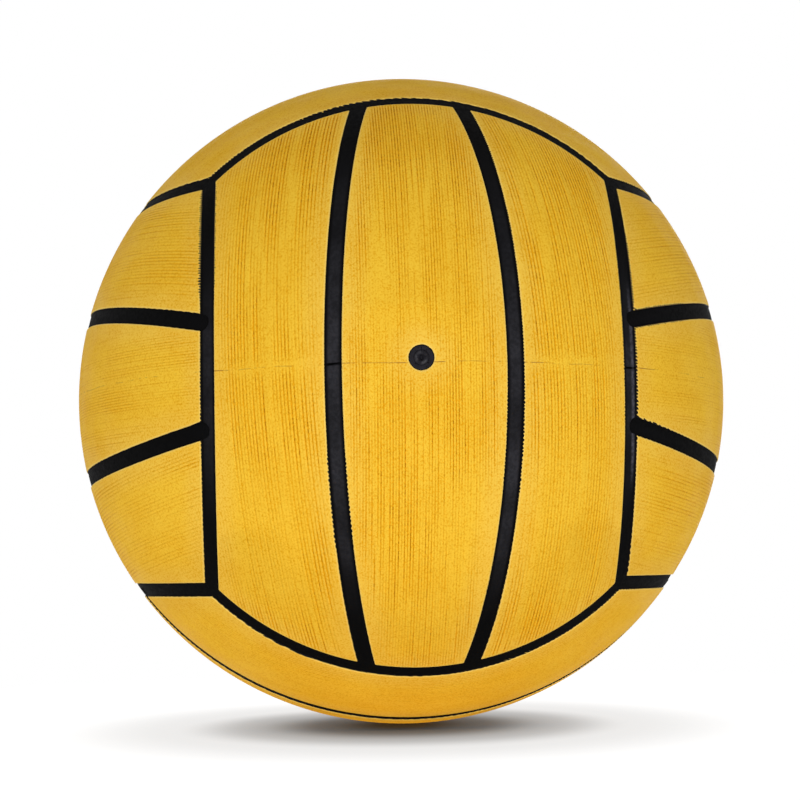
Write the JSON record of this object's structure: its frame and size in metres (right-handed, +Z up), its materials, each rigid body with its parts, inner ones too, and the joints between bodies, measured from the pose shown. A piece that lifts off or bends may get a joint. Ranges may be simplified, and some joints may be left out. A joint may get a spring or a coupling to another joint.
{
  "type": "water polo ball",
  "caption": "Round yellow rubber ball with long panels in six crossed groups, black channels between them, and a needle valve.",
  "frame": {"origin": "the middle of the ball", "axes": "+Z up, the valve looks along -Y, +X to the right of someone who faces the valve"},
  "size_m": [0.22, 0.22, 0.22],
  "materials": {
    "cover": "fine ribbed grip, matt",
    "channel_rubber": "satin",
    "carcass_rubber": "matt",
    "nylon_thread": "wound thread",
    "bladder_rubber": "smooth",
    "patch_rubber": "smooth",
    "valve_rubber": "smooth"
  },
  "bodies": {
    "root": {"panel_front_left": "cover", "panel_front_middle": "cover", "panel_front_right": "cover", "panel_back_left": "cover", "panel_back_middle": "cover", "panel_back_right": "cover", "panel_left_upper": "cover", "panel_left_middle": "cover", "panel_left_lower": "cover", "panel_right_upper": "cover", "panel_right_middle": "cover", "panel_right_lower": "cover", "panel_top_front": "cover", "panel_top_middle": "cover", "panel_top_back": "cover", "panel_bottom_front": "cover", "panel_bottom_middle": "cover", "panel_bottom_back": "cover", "strip_front_left": "channel_rubber", "strip_front_right": "channel_rubber", "strip_front_upper": "channel_rubber", "strip_front_lower": "channel_rubber", "strip_back_left": "channel_rubber", "strip_back_right": "channel_rubber", "strip_back_upper": "channel_rubber", "strip_back_lower": "channel_rubber", "strip_left_upper": "channel_rubber", "strip_left_lower": "channel_rubber", "strip_left_front": "channel_rubber", "strip_left_back": "channel_rubber", "strip_right_upper": "channel_rubber", "strip_right_lower": "channel_rubber", "strip_right_front": "channel_rubber", "strip_right_back": "channel_rubber", "strip_top_front": "channel_rubber", "strip_top_back": "channel_rubber", "strip_top_left": "channel_rubber", "strip_top_right": "channel_rubber", "strip_bottom_front": "channel_rubber", "strip_bottom_back": "channel_rubber", "strip_bottom_left": "channel_rubber", "strip_bottom_right": "channel_rubber", "carcass": "carcass_rubber", "thread_winding": "nylon_thread", "bladder": "bladder_rubber", "valve_patch": "patch_rubber", "valve_housing": "valve_rubber", "valve_core": "valve_rubber", "balance_patch": "patch_rubber"}
  },
  "joints": []
}
